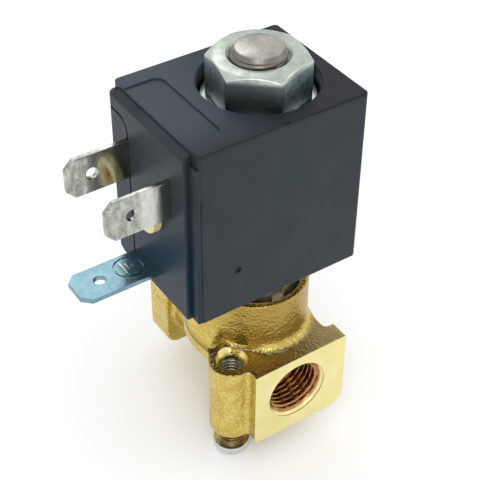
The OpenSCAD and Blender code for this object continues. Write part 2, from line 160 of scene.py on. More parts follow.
def turned(name, path, segments=96, thread=None):
    """Solid of revolution about Z. path lists (radius, height) from the axis back to the axis.

    thread is (pitch, root radius, crest radius, low, high). A tap has its crest outside its root,
    so it grows the path's radius, and a screw's thread is cut into it.
    """
    rows = [path[0]]
    for (r0, z0), (r1, z1) in zip(path, path[1:]):
        parts = 1
        if thread and max(z0, z1) > thread[3] and min(z0, z1) < thread[4]:
            parts = max(1, ceil(abs(z1 - z0) / thread[0] * THREAD_STEPS))
        for k in range(1, parts + 1):
            rows.append((r0 + (r1 - r0) * k / parts, z0 + (z1 - z0) * k / parts))
    radius, height = (np.array(column)[:, None] for column in zip(*rows))
    angle = 2 * np.pi * np.arange(segments)[None, :] / segments
    radius = np.repeat(radius, segments, 1)
    if thread:
        pitch, wall, crest, low, high = thread
        fade = np.clip(np.minimum(height - low, high - height) / (0.6 * pitch), 0, 1)
        form = ridge(height / pitch - angle / (2 * np.pi))
        inside = (height >= low) & (height <= high) & (radius > 0)
        if crest > wall:
            cut = np.maximum(radius, wall + (crest - wall) * form * fade)
        else:
            cut = np.minimum(radius, wall - (wall - crest) * (1 - form) * fade)
        radius = np.where(inside, cut, radius)
    height = np.repeat(height, segments, 1)
    rings = np.stack([radius * np.cos(angle), radius * np.sin(angle), height], -1)
    points = [tuple(p) for ring in rings[1:-1] for p in ring]
    n = len(rows) - 2
    faces = ring_faces(n, segments)
    points += [(0, 0, rows[0][1]), (0, 0, rows[-1][1])]
    first, last = n * segments, n * segments + 1
    faces += [(first, (i + 1) % segments, i) for i in range(segments)]
    top = (n - 1) * segments
    faces += [(last, top + i, top + (i + 1) % segments) for i in range(segments)]
    return face_outwards(new_object(name, points, faces))


def copy_of(node, name):
    """The CAD node's shape as a new object in millimetres, with its flat faces in one piece."""
    shape = bmesh.new()
    shape.from_mesh(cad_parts[node].data)
    shape.transform(Matrix.Scale(1 / MM, 4))
    bmesh.ops.remove_doubles(shape, verts=shape.verts, dist=0.0005)
    bmesh.ops.dissolve_limit(shape, angle_limit=radians(0.3), verts=shape.verts, edges=shape.edges)
    shape.verts.ensure_lookup_table()
    points = [v.co.copy() for v in shape.verts]
    faces = [[v.index for v in f.verts] for f in shape.faces]
    shape.free()
    return new_object(name, points, faces)


def soften(obj, width, segments, angle):
    """Rounds every edge sharper than angle."""
    return modified(
        obj, "BEVEL", width=width, segments=segments, limit_method="ANGLE",
        angle_limit=radians(angle), use_clamp_overlap=False, miter_outer="MITER_ARC"
    )


def smooth(obj, angle, weighted=False):
    """Smooth shading, with edges sharper than angle kept crisp."""
    obj.data.shade_smooth()
    obj.data.set_sharp_from_angle(angle=radians(angle))
    return modified(obj, "WEIGHTED_NORMAL", keep_sharp=True) if weighted else obj


def paint_above(obj, height):
    """Gives an object's second material to its faces above a height."""
    for face in obj.data.polygons:
        face.material_index = int(face.center.z > height)


def place(obj, body, slot, nodes, *materials):
    """Scales a finished piece to metres, gives it its body and materials, and hides the CAD nodes that
    it replaces. The slot is not used.
    """
    obj.data.transform(Matrix.Scale(MM, 4))
    painted = [face.material_index for face in obj.data.polygons]
    obj.data.materials.clear()
    for material in materials:
        obj.data.materials.append(material)
    obj.data.polygons.foreach_set("material_index", painted)
    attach(obj, body)
    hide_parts(*nodes)


# ---- material tools


def srgb(red, green, blue):
    """Linear colour from a display colour of 0 to 255."""
    values = [c / 255 for c in (red, green, blue)]
    return (*[c / 12.92 if c <= 0.04045 else ((c + 0.055) / 1.055) ** 2.4 for c in values], 1)


class Finish:
    """A node material on a Principled shader, with sizes in millimetres."""

    def __init__(self, name, **constants):
        self.material = bpy.data.materials.new(name)
        self.material.use_nodes = True
        self.tree = self.material.node_tree
        self.shader = self.tree.nodes["Principled BSDF"]
        for socket, value in constants.items():
            self.shader.inputs[socket.replace("_", " ")].default_value = value
        self.place = self.add("ShaderNodeTexCoord").outputs["Object"]

    def add(self, kind, inputs=None, **settings):
        node = self.tree.nodes.new(kind)
        for key, value in settings.items():
            setattr(node, key, value)
        for key, value in (inputs or {}).items():
            if isinstance(value, bpy.types.NodeSocket):
                self.tree.links.new(value, node.inputs[key])
            else:
                node.inputs[key].default_value = value
        return node

    def stretched(self, x, y, z):
        return self.add("ShaderNodeMapping", {"Vector": self.place, "Scale": (x, y, z)}).outputs[0]

    def noise(self, size, detail=2.0, rough=0.5, where=None, distortion=0.0):
        inputs = {
            "Vector": where or self.place, "Scale": 1 / (size * MM), "Detail": detail,
            "Roughness": rough, "Distortion": distortion,
        }
        return self.add("ShaderNodeTexNoise", inputs).outputs["Fac"]

    def cells(self, size):
        inputs = {"Vector": self.place, "Scale": 1 / (size * MM)}
        return self.add("ShaderNodeTexVoronoi", inputs).outputs["Distance"]

    def waves(self, period, distortion=0.0, **settings):
        inputs = {
            "Vector": self.place, "Scale": 2 * pi / (WAVE_FACTOR * period * MM),
            "Distortion": distortion, "Detail": 2.0,
        }
        return self.add("ShaderNodeTexWave", inputs, **settings).outputs["Fac"]

    def rings(self, period, axis="Z", distortion=0.0):
        return self.waves(period, distortion, wave_type="RINGS", rings_direction=axis)

    def along(self, axis):
        split = self.add("ShaderNodeSeparateXYZ", {"Vector": self.place})
        return split.outputs[axis]

    def remap(self, value, low, high, new_low=0.0, new_high=1.0):
        inputs = {0: value, 1: low, 2: high, 3: new_low, 4: new_high}
        return self.add("ShaderNodeMapRange", inputs).outputs[0]

    def ramp(self, axis, span):
        """0 at the first and 1 at the second of two places along an axis."""
        return self.remap(self.along(axis), span[0] * MM, span[1] * MM)

    def maths(self, operation, a, b):
        return self.add("ShaderNodeMath", {0: a, 1: b}, operation=operation).outputs[0]

    def times(self, a, b):
        return self.maths("MULTIPLY", a, b)

    def blend(self, factor, a, b):
        """Mix of two colours, each one a socket or a display colour."""
        node = self.add("ShaderNodeMix", {"Factor": factor}, data_type="RGBA")
        for socket, value in ((node.inputs[6], a), (node.inputs[7], b)):
            if isinstance(value, bpy.types.NodeSocket):
                self.tree.links.new(value, socket)
            else:
                socket.default_value = srgb(*value)
        return node.outputs[2]

    def bump(self, height, depth, strength=1.0, under=None):
        inputs = {"Height": height, "Distance": depth * MM, "Strength": strength}
        if under is not None:
            inputs["Normal"] = under
        return self.add("ShaderNodeBump", inputs).outputs[0]

    def drive(self, colour, rough, normal=None):
        for socket, source in (("Base Color", colour), ("Roughness", rough), ("Normal", normal)):
            if source:
                self.tree.links.new(source, self.shader.inputs[socket])
        return self.material


# Where the finishes and the painted shade and light change: places along an axis for Finish.ramp(), in
# millimetres.
CUP_SHADE_Z = (15.6, 17.5)
CUP_SHADE_X = (-10.5, -6.5)  # leaves out the flare
TOP_SHADE_RISE = (14.86, 15.04)
TOP_SHADE_FALL = (15.7, 15.1)
COIL_TOP_SHADE_Z = (58.6, 59.1)
PANEL_REFLECTION_X = (2.0, -9.0)
PANEL_REFLECTION_Y = (-12.0, -4.0)
FACE_REFLECTION_X = (-16.5, -17.2)
FACE_REFLECTION_Z = (52.0, 40.0)
NUT_SIDES_Z = (62.7, 62.1)
SHADED_FLAT_WAY = (-0.643, -0.766)  # direction in X and Y that the nut's flat with painted shade faces
SHADED_FLAT = (5.8, 6.4)  # distance from the axis in that direction
LIGHTER_BAND_RISE_X = (-23.2, -22.2)
LIGHTER_BAND_FALL_X = (-20.0, -20.6)
BLADE_ROOT_SHADE_X = (-20.6, -19.8)


def forged_brass():
    """Sand-textured forging skin, with painted glints on its grain's raised cells and painted shade on
    the flat top and the cup under the coil.
    """
    f = Finish("forged_brass", Metallic=1.0)
    grain = f.maths("SUBTRACT", 1.0, f.cells(0.48))
    fine = f.noise(0.16, detail=3)
    cloud = f.noise(2.6, detail=4)
    colour = f.blend(f.remap(cloud, 0.35, 0.68), (196, 170, 82), (212, 190, 102))
    # Painted glints: the grain's raised cells are paler.
    colour = f.blend(f.remap(grain, 0.45, 0.9, 0, 0.6), colour, (240, 224, 148))
    # Painted shade on the cup under the coil.
    cup = f.times(f.ramp("Z", CUP_SHADE_Z), f.ramp("X", CUP_SHADE_X))
    colour = f.blend(f.times(cup, 0.7), colour, (158, 126, 62))
    # Painted shade on the flat top under the coil.
    flat = f.times(f.ramp("Z", TOP_SHADE_RISE), f.ramp("Z", TOP_SHADE_FALL))
    colour = f.blend(f.times(flat, 0.9), colour, (140, 121, 86))
    rough = f.remap(f.maths("ADD", grain, fine), 0.6, 1.5, 0.38, 0.2)
    skin = f.bump(f.noise(0.75, detail=3), 0.08, 0.6)
    skin = f.bump(grain, 0.075, 1.0, skin)
    return f.drive(colour, rough, f.bump(fine, 0.012, 0.8, skin))


def machined_brass():
    """Faced and bored surfaces: pale, satin, with fine cutter lines."""
    f = Finish("machined_brass", Metallic=1.0)
    lines = f.noise(0.5, detail=3, where=f.stretched(0.25, 1, 9))
    cloud = f.noise(3.5, detail=2)
    colour = f.blend(f.remap(cloud, 0.3, 0.7), (234, 221, 154), (242, 231, 170))
    rough = f.remap(lines, 0.2, 0.8, 0.26, 0.36)
    return f.drive(colour, rough, f.bump(lines, 0.004, 0.5))


def shaded_port_brass():
    """Thread flanks: darker and warmer than the faced surfaces, painted shade and painted reflection of
    the surrounding brass, with fine tool marks.
    """
    f = Finish("thread_brass", Metallic=1.0)
    cloud = f.noise(1.2, detail=4)
    colour = f.blend(f.remap(cloud, 0.3, 0.7), (164, 110, 68), (202, 160, 106))
    rough = f.remap(f.noise(0.3), 0.3, 0.7, 0.2, 0.32)
    marks = f.bump(f.noise(0.12, detail=3), 0.006, 0.6)
    return f.drive(colour, rough, marks)


def black_moulding():
    """Blue-black thermoplastic, finely eroded, with painted shade on the top, a painted reflection
    paler by the top's panel, and a bluer painted reflection low on the face.
    """
    f = Finish("black_moulding", IOR=1.5, Specular_IOR_Level=0.2)
    cloud = f.noise(6.0, detail=3)
    flow = f.noise(9.0, detail=2, where=f.stretched(1, 1, 0.35))
    colour = f.blend(f.remap(cloud, 0.3, 0.7), (34, 39, 44), (43, 49, 54))
    colour = f.blend(f.remap(flow, 0.45, 0.75, 0, 0.5), colour, (34, 50, 54))
    # Painted shade: the top is darkened nearly to black.
    top = f.ramp("Z", COIL_TOP_SHADE_Z)
    # Painted reflection: the top turns paler towards the terminal end, away from the near edge.
    panel_reflection = f.times(f.times(top, f.ramp("X", PANEL_REFLECTION_X)), f.ramp("Y", PANEL_REFLECTION_Y))
    colour = f.blend(f.times(top, 0.7), colour, (14, 17, 22))
    colour = f.blend(panel_reflection, colour, (54, 65, 76))
    # Painted reflection: darker and bluer low on the terminal face.
    face_reflection = f.times(f.ramp("X", FACE_REFLECTION_X), f.ramp("Z", FACE_REFLECTION_Z))
    colour = f.blend(f.times(face_reflection, 0.85), colour, (12, 34, 52))
    rough = f.remap(f.noise(0.9, detail=3), 0.3, 0.7, 0.36, 0.46)
    grain = f.bump(f.noise(0.22, detail=3), 0.012, 0.5)
    return f.drive(colour, rough, f.bump(cloud, 0.05, 0.25, grain))


def nut_zinc():
    """Zinc plate, bright on the nut's turned top; painted shade and mottled staining darken its flats,
    and painted shade one flat more.
    """
    f = Finish("nut_zinc", Metallic=1.0)
    cloud = f.noise(1.8, detail=5, rough=0.6)
    colour = f.blend(f.remap(cloud, 0.3, 0.72), (166, 178, 168), (208, 217, 208))
    flats = f.ramp("Z", NUT_SIDES_Z)
    # Painted shade: the flats are darker than the turned top.
    colour = f.blend(f.times(flats, 0.88), colour, (136, 158, 160))
    # Mottled staining and painted shade on the flats.
    stains_and_shade = f.remap(f.noise(0.7, detail=5, rough=0.65), 0.45, 0.62, 0, 0.6)
    colour = f.blend(f.times(flats, stains_and_shade), colour, (84, 100, 102))
    # Painted shade darkens the one flat that faces the outlet and terminal side.
    across, along = (f.times(f.along(axis), share) for axis, share in zip("XY", SHADED_FLAT_WAY))
    shaded_flat = f.remap(f.maths("ADD", across, along), SHADED_FLAT[0] * MM, SHADED_FLAT[1] * MM)
    colour = f.blend(f.times(f.times(flats, shaded_flat), 0.85), colour, (88, 94, 94))
    rough = f.remap(f.noise(0.6, detail=4), 0.3, 0.7, 0.24, 0.36)
    rough = f.maths("ADD", rough, f.times(flats, 0.18))
    marks = f.bump(f.noise(0.3, detail=4), 0.012, 0.6)
    marks = f.bump(f.rings(0.6, "Z", distortion=1.0), 0.006, 0.5, marks)
    return f.drive(colour, rough, marks)


def plated_steel(name, dark, light, roughness, turning=0.0, axis="Z", shade_from=None):
    """Metal with uneven plating.

    turning is the spacing of its turning marks, and shade_from the height below which it is rougher and
    darkened by painted shade.
    """
    f = Finish(name, Metallic=1.0)
    cloud = f.noise(1.6, detail=5, rough=0.6)
    colour = f.blend(f.remap(cloud, 0.3, 0.72), dark, light)
    rough = f.remap(f.noise(0.6, detail=4), 0.3, 0.7, roughness - 0.05, roughness + 0.07)
    if shade_from:
        # Below that height: rougher, and darkened by painted shade.
        side = f.ramp("Z", (shade_from, shade_from - 0.1))
        colour = f.blend(f.times(side, 0.75), colour, (104, 98, 90))
        rough = f.maths("ADD", rough, f.times(side, 0.12))
    marks = f.bump(f.noise(0.18, detail=3), 0.006, 0.5)
    if turning:
        marks = f.bump(f.rings(turning, axis, distortion=1.2), 0.006, 0.55, marks)
    return f.drive(colour, rough, marks)


def tinned_brass():
    """Tin plate with smears and dark specks, lighter in a band, and darkened by painted shade at the
    root by the housing.
    """
    f = Finish("tinned_brass", Metallic=1.0)
    smear = f.noise(1.5, detail=5, rough=0.62, where=f.stretched(1.5, 1, 0.8), distortion=0.6)
    spots = f.cells(0.45)
    colour = f.blend(f.remap(smear, 0.36, 0.62), (142, 145, 135), (188, 190, 181))
    colour = f.blend(f.remap(spots, 0.0, 0.16, 0.35, 0.0), colour, (90, 92, 84))
    # A lighter band across the blades, between two places along X.
    lighter_band = f.times(f.ramp("X", LIGHTER_BAND_RISE_X), f.ramp("X", LIGHTER_BAND_FALL_X))
    colour = f.blend(f.times(lighter_band, 0.35), colour, (240, 242, 236))
    # Painted shade darkens the blades at their roots, next to the housing's face.
    colour = f.blend(f.times(f.ramp("X", BLADE_ROOT_SHADE_X), 0.4), colour, (112, 112, 106))
    rough = f.remap(smear, 0.35, 0.65, 0.24, 0.1)
    marks = f.bump(f.noise(0.3, detail=4), 0.008, 0.5)
    return f.drive(colour, rough, marks)


def plain_plastic(name, dark, light, roughness):
    """Cloudy plastic or rubber with a fine grain."""
    f = Finish(name, IOR=1.5)
    colour = f.blend(f.remap(f.noise(1.8, detail=3), 0.3, 0.7), dark, light)
    rough = f.remap(f.noise(0.5), 0.3, 0.7, roughness - 0.05, roughness + 0.05)
    return f.drive(colour, rough, f.bump(f.noise(0.25), 0.01, 0.5))


def enamelled_copper():
    """Wound wire: fine turns across the winding."""
    f = Finish("enamelled_copper", Metallic=1.0, Coat_Weight=0.6)
    turns = f.waves(0.2, bands_direction="Z")
    colour = f.blend(f.remap(f.noise(1.5), 0.3, 0.7), (168, 84, 46), (204, 120, 72))
    rough = f.remap(f.noise(0.6), 0.3, 0.7, 0.25, 0.38)
    return f.drive(colour, rough, f.bump(turns, 0.06, 0.8))


def pale_floor():
    """Nearly white, matt floor."""
    f = Finish("pale_floor")
    colour = f.blend(f.remap(f.noise(60), 0.3, 0.7), (252, 253, 254), (254, 254, 255))
    return f.drive(colour, f.remap(f.noise(30), 0.3, 0.7, 0.75, 0.85))


BOSS_THREAD = plated_steel("boss_thread", (150, 142, 118), (196, 188, 162), 0.28)
BRASS = [forged_brass(), machined_brass(), shaded_port_brass(), BOSS_THREAD]
PLASTIC = black_moulding()
NUT_ZINC = nut_zinc()
ZINC = plated_steel("zinc_plate", (206, 211, 211), (232, 236, 236), 0.2, turning=0.5)
STAINLESS_COLOURS = ((160, 157, 150), (198, 195, 188))
STAINLESS = plated_steel("stainless", *STAINLESS_COLOURS, 0.26, turning=0.32)
# The stem's chamfer and side are darkened by painted shade.
STEM_STEEL = plated_steel(
    "stem_steel", *STAINLESS_COLOURS, 0.26, turning=0.32, shade_from=CORE_HIGH.z - 0.08
)
FLANGE_STEEL = plated_steel("flange_steel", (190, 180, 164), (226, 218, 204), 0.42)
YOKE_STEEL = plated_steel("yoke_steel", (140, 143, 146), (176, 180, 182), 0.35)
SCREW_STEEL = plated_steel("screw_steel", (196, 199, 200), (224, 226, 226), 0.16, turning=0.4)
# Brownish steel for the screws' shanks: painted shade and a painted reflection of the brass above them.
SHADED_SHANK_STEEL = plated_steel("shaded_shank_steel", (112, 92, 62), (150, 128, 92), 0.3)
SPRING_STEEL = plated_steel("spring_steel", (170, 172, 174), (200, 202, 204), 0.24)
TIN = tinned_brass()
EARTH_PLATE = plated_steel("earth_plate", (112, 144, 156), (130, 162, 174), 0.2)
TURNED_BRASS = plated_steel(
    "turned_brass", (186, 148, 78), (216, 184, 112), 0.3, turning=0.3, axis="X"
)
IVORY = plain_plastic("ivory_plastic", (212, 200, 150), (232, 222, 178), 0.42)
TAPE = plain_plastic("insulation_tape", (200, 160, 60), (222, 188, 84), 0.35)
RUBBER = plain_plastic("black_rubber", (26, 20, 24), (38, 30, 36), 0.38)
COPPER = enamelled_copper()

# ---- valve body

BLOCK_TOP = 15.1
PAD_LEFT = -8.0
PAD_RIGHT = 9.3
PAD_EDGE = 0.35
PAD_TOP_R = 0.4
OUTLET_SLAB = 3.4
OUTLET_CORNERS = (1.3, 2.7)  # radii of a pad's lower left and right corners
INLET_SLAB = 5.2
INLET_CORNERS = (2.5, 2.5)
RAW_EXTRA = 0.6  # metal that facing takes off each port pad
PORT_Z = 8.0
BOSS = (-8.75, -6.6)
FAR_BOSS = (8.75, 14.0)
BOSS_R = 3.59
BOSS_FOOT = 0.3
WEBS = ((BOSS, (-1.5, 3.0), 8.9), (FAR_BOSS, (0.0, 6.0), 7.4))  # boss, far end, its radius
WEB_FLOOR = 12.6
KEEL_R = 7.3
NECK_R = 6.6
INSET = 1.0  # how far the barrels stop short of the pads' faces
FLANK_LEFT = PAD_LEFT + 0.9  # block under the outlet's barrel
FLANK_RIGHT = 7.5
FLANK_FOOT = 4.0
CUP_R = 8.5
CUP_TOP = BODY_HIGH.z
FOOT_FILLET = 1.6  # at the cup's foot, dying away beside the bosses
FILLET_START = 3.2  # distance from a boss's axis where it starts to grow
FILLET_GROWTH = 2.4
CAST_EDGE = 0.25
SKIRT_R = 11.4
SKIRT_TOP = 21.0
SKIRT_EDGE_HIGH = 14.7  # top of the flare's upright edge
SKIRT_EDGE = 1.2
SKIRT_FOOT = 9.8
SKIRT_FRONT = 230.0  # ends of the flare, in degrees round the axis
SKIRT_BACK = 125.0
SKIRT_FADE = 20.0
SKIRT_SLOPE = 0.72  # makes a difference of radii nearly a distance
GRID = 0.22
SKIN_WAVES = ((0.8, 0.035), (2.1, 0.022))  # waves for each millimetre, and their height
SKIN_SINK = 0.01


def join(a, b, radius):
    """Union of two distances with a round fillet in the corner between them."""
    corner = np.hypot(np.maximum(radius - a, 0), np.maximum(radius - b, 0))
    return np.maximum(radius, np.minimum(a, b)) - corner


def cap(a, b, radius):
    """Intersection of two distances with a rounded edge."""
    corner = np.hypot(np.maximum(radius + a, 0), np.maximum(radius + b, 0))
    return np.minimum(-radius, np.maximum(a, b)) + corner


def rod(u, v, w, radius, low, high, edge):
    """Cylinder along w, with rounded edges."""
    return cap(np.hypot(u, v) - radius, np.maximum(low - w, w - high), edge)


def slab(x, y, z, y0, y1, left_r, right_r):
    """Port pad: upright plate with round bottom corners and a nearly square top."""
    centre_x, half_x = (PAD_LEFT + PAD_RIGHT) / 2, (PAD_RIGHT - PAD_LEFT) / 2
    centre_z, half_z = BLOCK_TOP / 2, BLOCK_TOP / 2
    corner = np.where(z < centre_z, np.where(x < centre_x, left_r, right_r), PAD_TOP_R)
    u = np.abs(x - centre_x) - half_x + corner
    v = np.abs(z - centre_z) - half_z + corner
    outline = np.hypot(np.maximum(u, 0), np.maximum(v, 0)) + np.minimum(np.maximum(u, v), 0)
    return cap(outline - corner, np.maximum(y0 - y, y - y1), PAD_EDGE)


def web(x, y, z, start, start_r, end, end_r):
    """Flat web between two round ends."""
    ax, ay = end[0] - start[0], end[1] - start[1]
    t = np.clip(((x - start[0]) * ax + (y - start[1]) * ay) / (ax * ax + ay * ay), 0, 1)
    away = np.hypot(x - start[0] - t * ax, y - start[1] - t * ay)
    return cap(away - start_r - t * (end_r - start_r), WEB_FLOOR - z, 0.8)


def skirt(x, y, z):
    """Steep flare on the cup's left that dies away before the boss, undercut below its edge."""
    rise = np.clip((SKIRT_TOP - z) / (SKIRT_TOP - SKIRT_EDGE_HIGH), 0, 1)
    edge_low = SKIRT_EDGE_HIGH - SKIRT_EDGE
    drop = np.clip((edge_low - z) / (edge_low - SKIRT_FOOT), 0, 1)
    undercut = 1 - drop * (SKIRT_R - KEEL_R) / (SKIRT_R - CUP_R)
    profile = np.where(z > edge_low, rise ** 1.15, undercut)
    turn = np.degrees(np.arctan2(y, x)) % 360
    front = np.clip((SKIRT_FRONT - turn) / SKIRT_FADE, 0, 1)
    back = np.clip((turn - SKIRT_BACK) / SKIRT_FADE, 0, 1)
    share = np.minimum(front ** 2 * (3 - 2 * front), back ** 2 * (3 - 2 * back))
    reach = CUP_R + (SKIRT_R - CUP_R) * (profile * share - 0.5 * (1 - share))
    shell = (np.hypot(x, y) - reach) * SKIRT_SLOPE
    shell = cap(shell, np.maximum(z - SKIRT_TOP, SKIRT_FOOT - z), 0.3)
    over_boss = np.maximum(np.hypot(x - BOSS[0], y - BOSS[1]) - BOSS_R - 0.06, BLOCK_TOP - z)
    return cap(shell, -over_boss, 1.0)


def forging(points):
    """Distance from the raw forging's surface, in millimetres, negative inside."""
    x, y, z = points[:, 0], points[:, 1], points[:, 2]
    port_radius_z = z - PORT_Z
    front, back = BODY_LOW.y, BODY_HIGH.y
    shape = rod(x, port_radius_z, y, KEEL_R, front + INSET, 1, 0.5)
    shape = join(shape, rod(x, y, z, KEEL_R, 0, BLOCK_TOP + 2, 0.4), 1.0)
    walls = np.maximum(np.maximum(FLANK_LEFT - x, x - FLANK_RIGHT), np.maximum(front + INSET - y, y))
    shape = join(shape, cap(walls, FLANK_FOOT - z, 0.8), 0.8)
    shape = join(shape, rod(x, port_radius_z, y, NECK_R, 0, back - INSET, 0.5), 1.2)
    outlet = slab(x, y, z, front - RAW_EXTRA, front + OUTLET_SLAB, *OUTLET_CORNERS)
    shape = join(shape, outlet, 0.8)
    inlet = slab(x, y, z, back - INLET_SLAB, back + RAW_EXTRA, *INLET_CORNERS)
    shape = join(shape, inlet, 1.0)
    for centre, hub, hub_r in WEBS:
        post = rod(x - centre[0], y - centre[1], z, BOSS_R, BOSS_FOOT, BLOCK_TOP + 2, 0.8)
        shape = join(shape, post, 0.9)
        shape = join(shape, web(x, y, z, centre, BOSS_R - 0.4, hub, hub_r), 0.7)
    shape = cap(shape, z - BLOCK_TOP, CAST_EDGE)
    cup = rod(x, y, z, CUP_R, WEB_FLOOR, CUP_TOP, 0.4)
    clear = np.minimum(*[np.hypot(x - centre[0], y - centre[1]) for centre in (BOSS, FAR_BOSS)])
    growth = np.clip((clear - FILLET_START) / FILLET_GROWTH, 0, 1)
    shape = join(shape, cup, 0.15 + FOOT_FILLET * growth)
    shape = join(shape, skirt(x, y, z), 0.5)
    return cap(shape, -z, CAST_EDGE)


def surface_nets(low, high, step, distance):
    """Closed quad mesh of the surface where distance is zero, a point in each cell it crosses."""
    axes = [np.arange(a, b + step, step) for a, b in zip(low, high)]
    shape = tuple(len(axis) for axis in axes)
    field = np.empty(shape, np.float32)
    plane = np.stack(np.meshgrid(axes[1], axes[2], indexing="ij"), -1)
    plane = plane.reshape(-1, 2).astype(np.float32)
    for i, x in enumerate(axes[0]):
        points = np.column_stack([np.full(len(plane), x, np.float32), plane])
        field[i] = distance(points).reshape(shape[1:])
    inside = field < 0
    count = np.zeros(tuple(n - 1 for n in shape), np.int8)
    corners = [(i, j, k) for i in (0, 1) for j in (0, 1) for k in (0, 1)]
    for i, j, k in corners:
        count += inside[i:shape[0] - 1 + i, j:shape[1] - 1 + j, k:shape[2] - 1 + k]
    crossed = (count > 0) & (count < 8)
    cells = np.argwhere(crossed)
    number = np.full(crossed.shape, -1, np.int64)
    number[crossed] = np.arange(len(cells))
    total, hits = np.zeros((len(cells), 3)), np.zeros(len(cells))
    for corner in corners:
        for axis in range(3):
            if corner[axis]:
                continue
            a = cells + corner
            b = a + np.eye(3, dtype=int)[axis]
            va, vb = field[tuple(a.T)], field[tuple(b.T)]
            cuts = (va < 0) != (vb < 0)
            share = np.where(cuts, va / np.where(cuts, va - vb, 1), 0)
            total[cuts] += (a + share[:, None] * np.eye(3)[axis])[cuts]
            hits += cuts
    points = np.array(low) + step * total / hits[:, None]
    faces = []
    for axis in range(3):
        u, v = np.eye(3, dtype=int)[(axis + 1) % 3], np.eye(3, dtype=int)[(axis + 2) % 3]
        ahead = np.eye(3, dtype=int)[axis]
        first = inside[tuple(slice(0, n - d) for n, d in zip(shape, ahead))]
        second = inside[tuple(slice(d, n) for n, d in zip(shape, ahead))]
        edges = np.argwhere(first != second)
        quads = np.stack([number[tuple((edges - s).T)] for s in (0 * u, u, u + v, v)], -1)
        leaving = first[tuple(edges.T)]
        faces.append(np.where(leaving[:, None], quads[:, ::-1], quads))
    return points, np.concatenate(faces)


def fitted(points, distance, rounds=2):
    """Moves points onto the surface where distance is zero."""
    reach = 0.02
    for _ in range(rounds):
        here = distance(points)
        slope = np.stack(
            [distance(points + reach * e) - distance(points - reach * e) for e in np.eye(3)], -1
        ) / (2 * reach)
        size = np.maximum((slope ** 2).sum(1), 0.25)
        points = points - np.clip(here / size, -GRID, GRID)[:, None] * slope
    return points, slope / np.linalg.norm(slope, axis=1)[:, None]


def make_body():
    """Raw forging, then the cuts of machining: faced pads, tapped ports and bosses, bored cup."""
    margin = 0.7
    low = (BODY_LOW.x - margin, BODY_LOW.y - margin - RAW_EXTRA, -margin)
    high = (BODY_HIGH.x + margin, BODY_HIGH.y + margin + RAW_EXTRA, CUP_TOP + margin)
    points, faces = surface_nets(low, high, GRID, forging)
    points, outward = fitted(points, forging)
    waves = np.array([
        sum(size * noise.noise(Vector(p * rate)) for rate, size in SKIN_WAVES) for p in points
    ])
    level = np.abs(points[:, 2] - BLOCK_TOP) < 0.05
    points += outward * (waves * np.where(level, 0.5, 1))[:, None] - outward * SKIN_SINK
    points[:, 0] = np.clip(points[:, 0], BODY_LOW.x, BODY_HIGH.x)
    body = new_object("body_forging", points, faces)
    face_outwards(body)
    for y0, y1 in ((low[1] - 1, BODY_LOW.y), (BODY_HIGH.y, high[1] + 1)):
        carve(body, block((low[0] - 1, y0, -2), (high[0] + 1, y1, CUP_TOP + 1)))
    carve(body, block((low[0] - 1, low[1] - 2, -2), (high[0] + 1, high[1] + 2, 0)))
    carve(body, port_tap(BODY_LOW.y, -90, -BODY_LOW.y))
    carve(body, port_tap(BODY_HIGH.y, 90, BODY_HIGH.y - RISER_Y + 0.1))
    for centre in (BOSS, FAR_BOSS):
        carve(body, moved(boss_tap(), (*centre, 0)))
    carve(body, cup_bore())
    riser = turned("riser", [(0, 0), (RISER_R, 0), (RISER_R, RISER_H), (0, RISER_H)], 24)
    carve(body, moved(riser, (0, RISER_Y, PORT_Z)))
    paint_body(body)
    place(smooth(body, 42), "valve", "forged_brass", ["valve_body"], *BRASS)


PORT_PITCH = 0.907
PORT_R = 4.283
PORT_CREST = 4.864
PORT_DEPTH = 8.6
PORT_MOUTH = 5.3
MOUTH_DEPTH = 1.05
MOUTH_STEP = 0.14  # short straight start of the countersink
PASSAGE_R = 1.4
DRILL_POINT = 1.6
RISER_R = 1.2  # drilling from the inlet's passage up to the chamber
RISER_H = 6.0
RISER_Y = 4.1


def port_tap(face_y, turn, end):
    """G1/8 thread with its countersink and the passage behind it, cut in from a port's face."""
    cone = MOUTH_STEP + 0.02
    path = [
        (0, -1), (PORT_MOUTH, -1), (PORT_MOUTH, MOUTH_STEP), (PORT_MOUTH - 0.05, cone),
        (PORT_R, MOUTH_DEPTH + cone), (PORT_R, PORT_DEPTH),
        (PASSAGE_R, PORT_DEPTH + DRILL_POINT), (PASSAGE_R, end), (0, end)
    ]
    tool = turned("port", path, 120, (PORT_PITCH, PORT_R, PORT_CREST, 0.3, PORT_DEPTH))
    return moved(tool, (0, face_y, PORT_Z), turn)


SCREW_PITCH = 0.7
SCREW_ROOT = 1.62
SCREW_CREST = 2.0
BOSS_MOUTH = 2.45
BOSS_MOUTH_SLOPE = 0.9
BOSS_CHAMFER = 0.6
BOSS_THREAD_END = BLOCK_TOP - 1.3


def boss_tap():
    """Threaded hole through a boss, with a cone at each end."""
    depth = (BOSS_MOUTH - SCREW_ROOT) / BOSS_MOUTH_SLOPE
    path = [
        (0, -2), (SCREW_CREST + 2, -2), (SCREW_CREST + 0.2, BOSS_FOOT - 0.1),
        (SCREW_ROOT, BOSS_FOOT + BOSS_CHAMFER), (SCREW_ROOT, BLOCK_TOP - depth),
        (BOSS_MOUTH + BOSS_MOUTH_SLOPE, BLOCK_TOP + 1), (0, BLOCK_TOP + 1)
    ]
    return turned("boss_hole", path, 64, (SCREW_PITCH, SCREW_ROOT, SCREW_CREST, 0, BOSS_THREAD_END))


SEAT_TOP = 15.6
SEAT_R = 1.95
ORIFICE_R = 1.25
CHAMBER_FLOOR = 13.2
CHAMBER_R = 5.6
SEAL_STEP = 17.0  # step that the body seal sits on
SEAL_R = 6.0
RIM_FLOOR = 21.2
RIM_BORE_R = 7.3
RIM_LIP = 0.28


